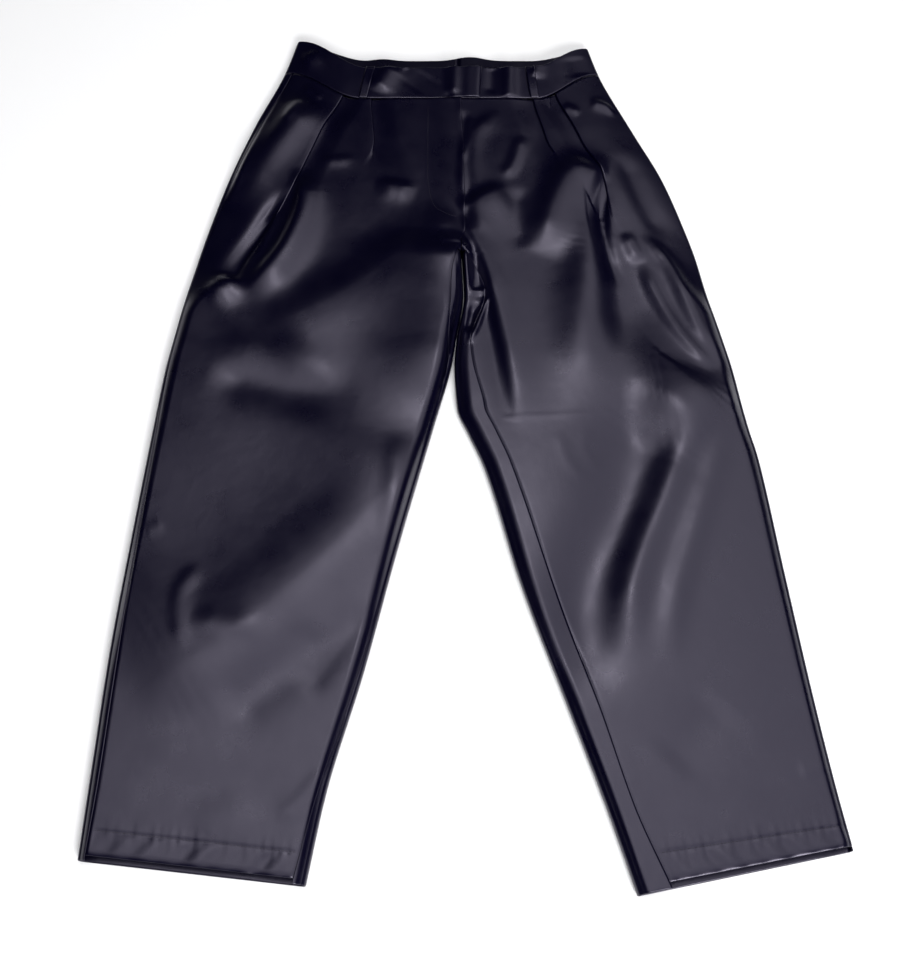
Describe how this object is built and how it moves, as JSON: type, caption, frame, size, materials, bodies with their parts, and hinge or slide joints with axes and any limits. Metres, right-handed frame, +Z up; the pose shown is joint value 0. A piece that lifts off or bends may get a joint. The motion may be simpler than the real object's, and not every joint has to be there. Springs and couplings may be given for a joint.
{
  "type": "pleated leather trousers laid flat",
  "caption": "High-waisted pleated leather trousers with wide tapered legs, a tabbed waistband, belt loops and turned-up hems, laid flat with the front up.",
  "frame": {"origin": "middle of the outline on the surface that the trousers lie on", "axes": "+Y from the hems to the waist, +Z up from the surface, +X to the wearer's left"},
  "size_m": [0.751, 1.0104, 0.0365],
  "materials": {
    "leather": "semi-gloss smooth black leather with a faint violet cast"
  },
  "bodies": {
    "root": {"back_right": "leather", "back_left": "leather", "front_right": "leather", "front_left": "leather", "waistband_right": "leather", "waistband_left": "leather", "belt_loop_right": "leather", "belt_loop_left": "leather"}
  },
  "joints": []
}
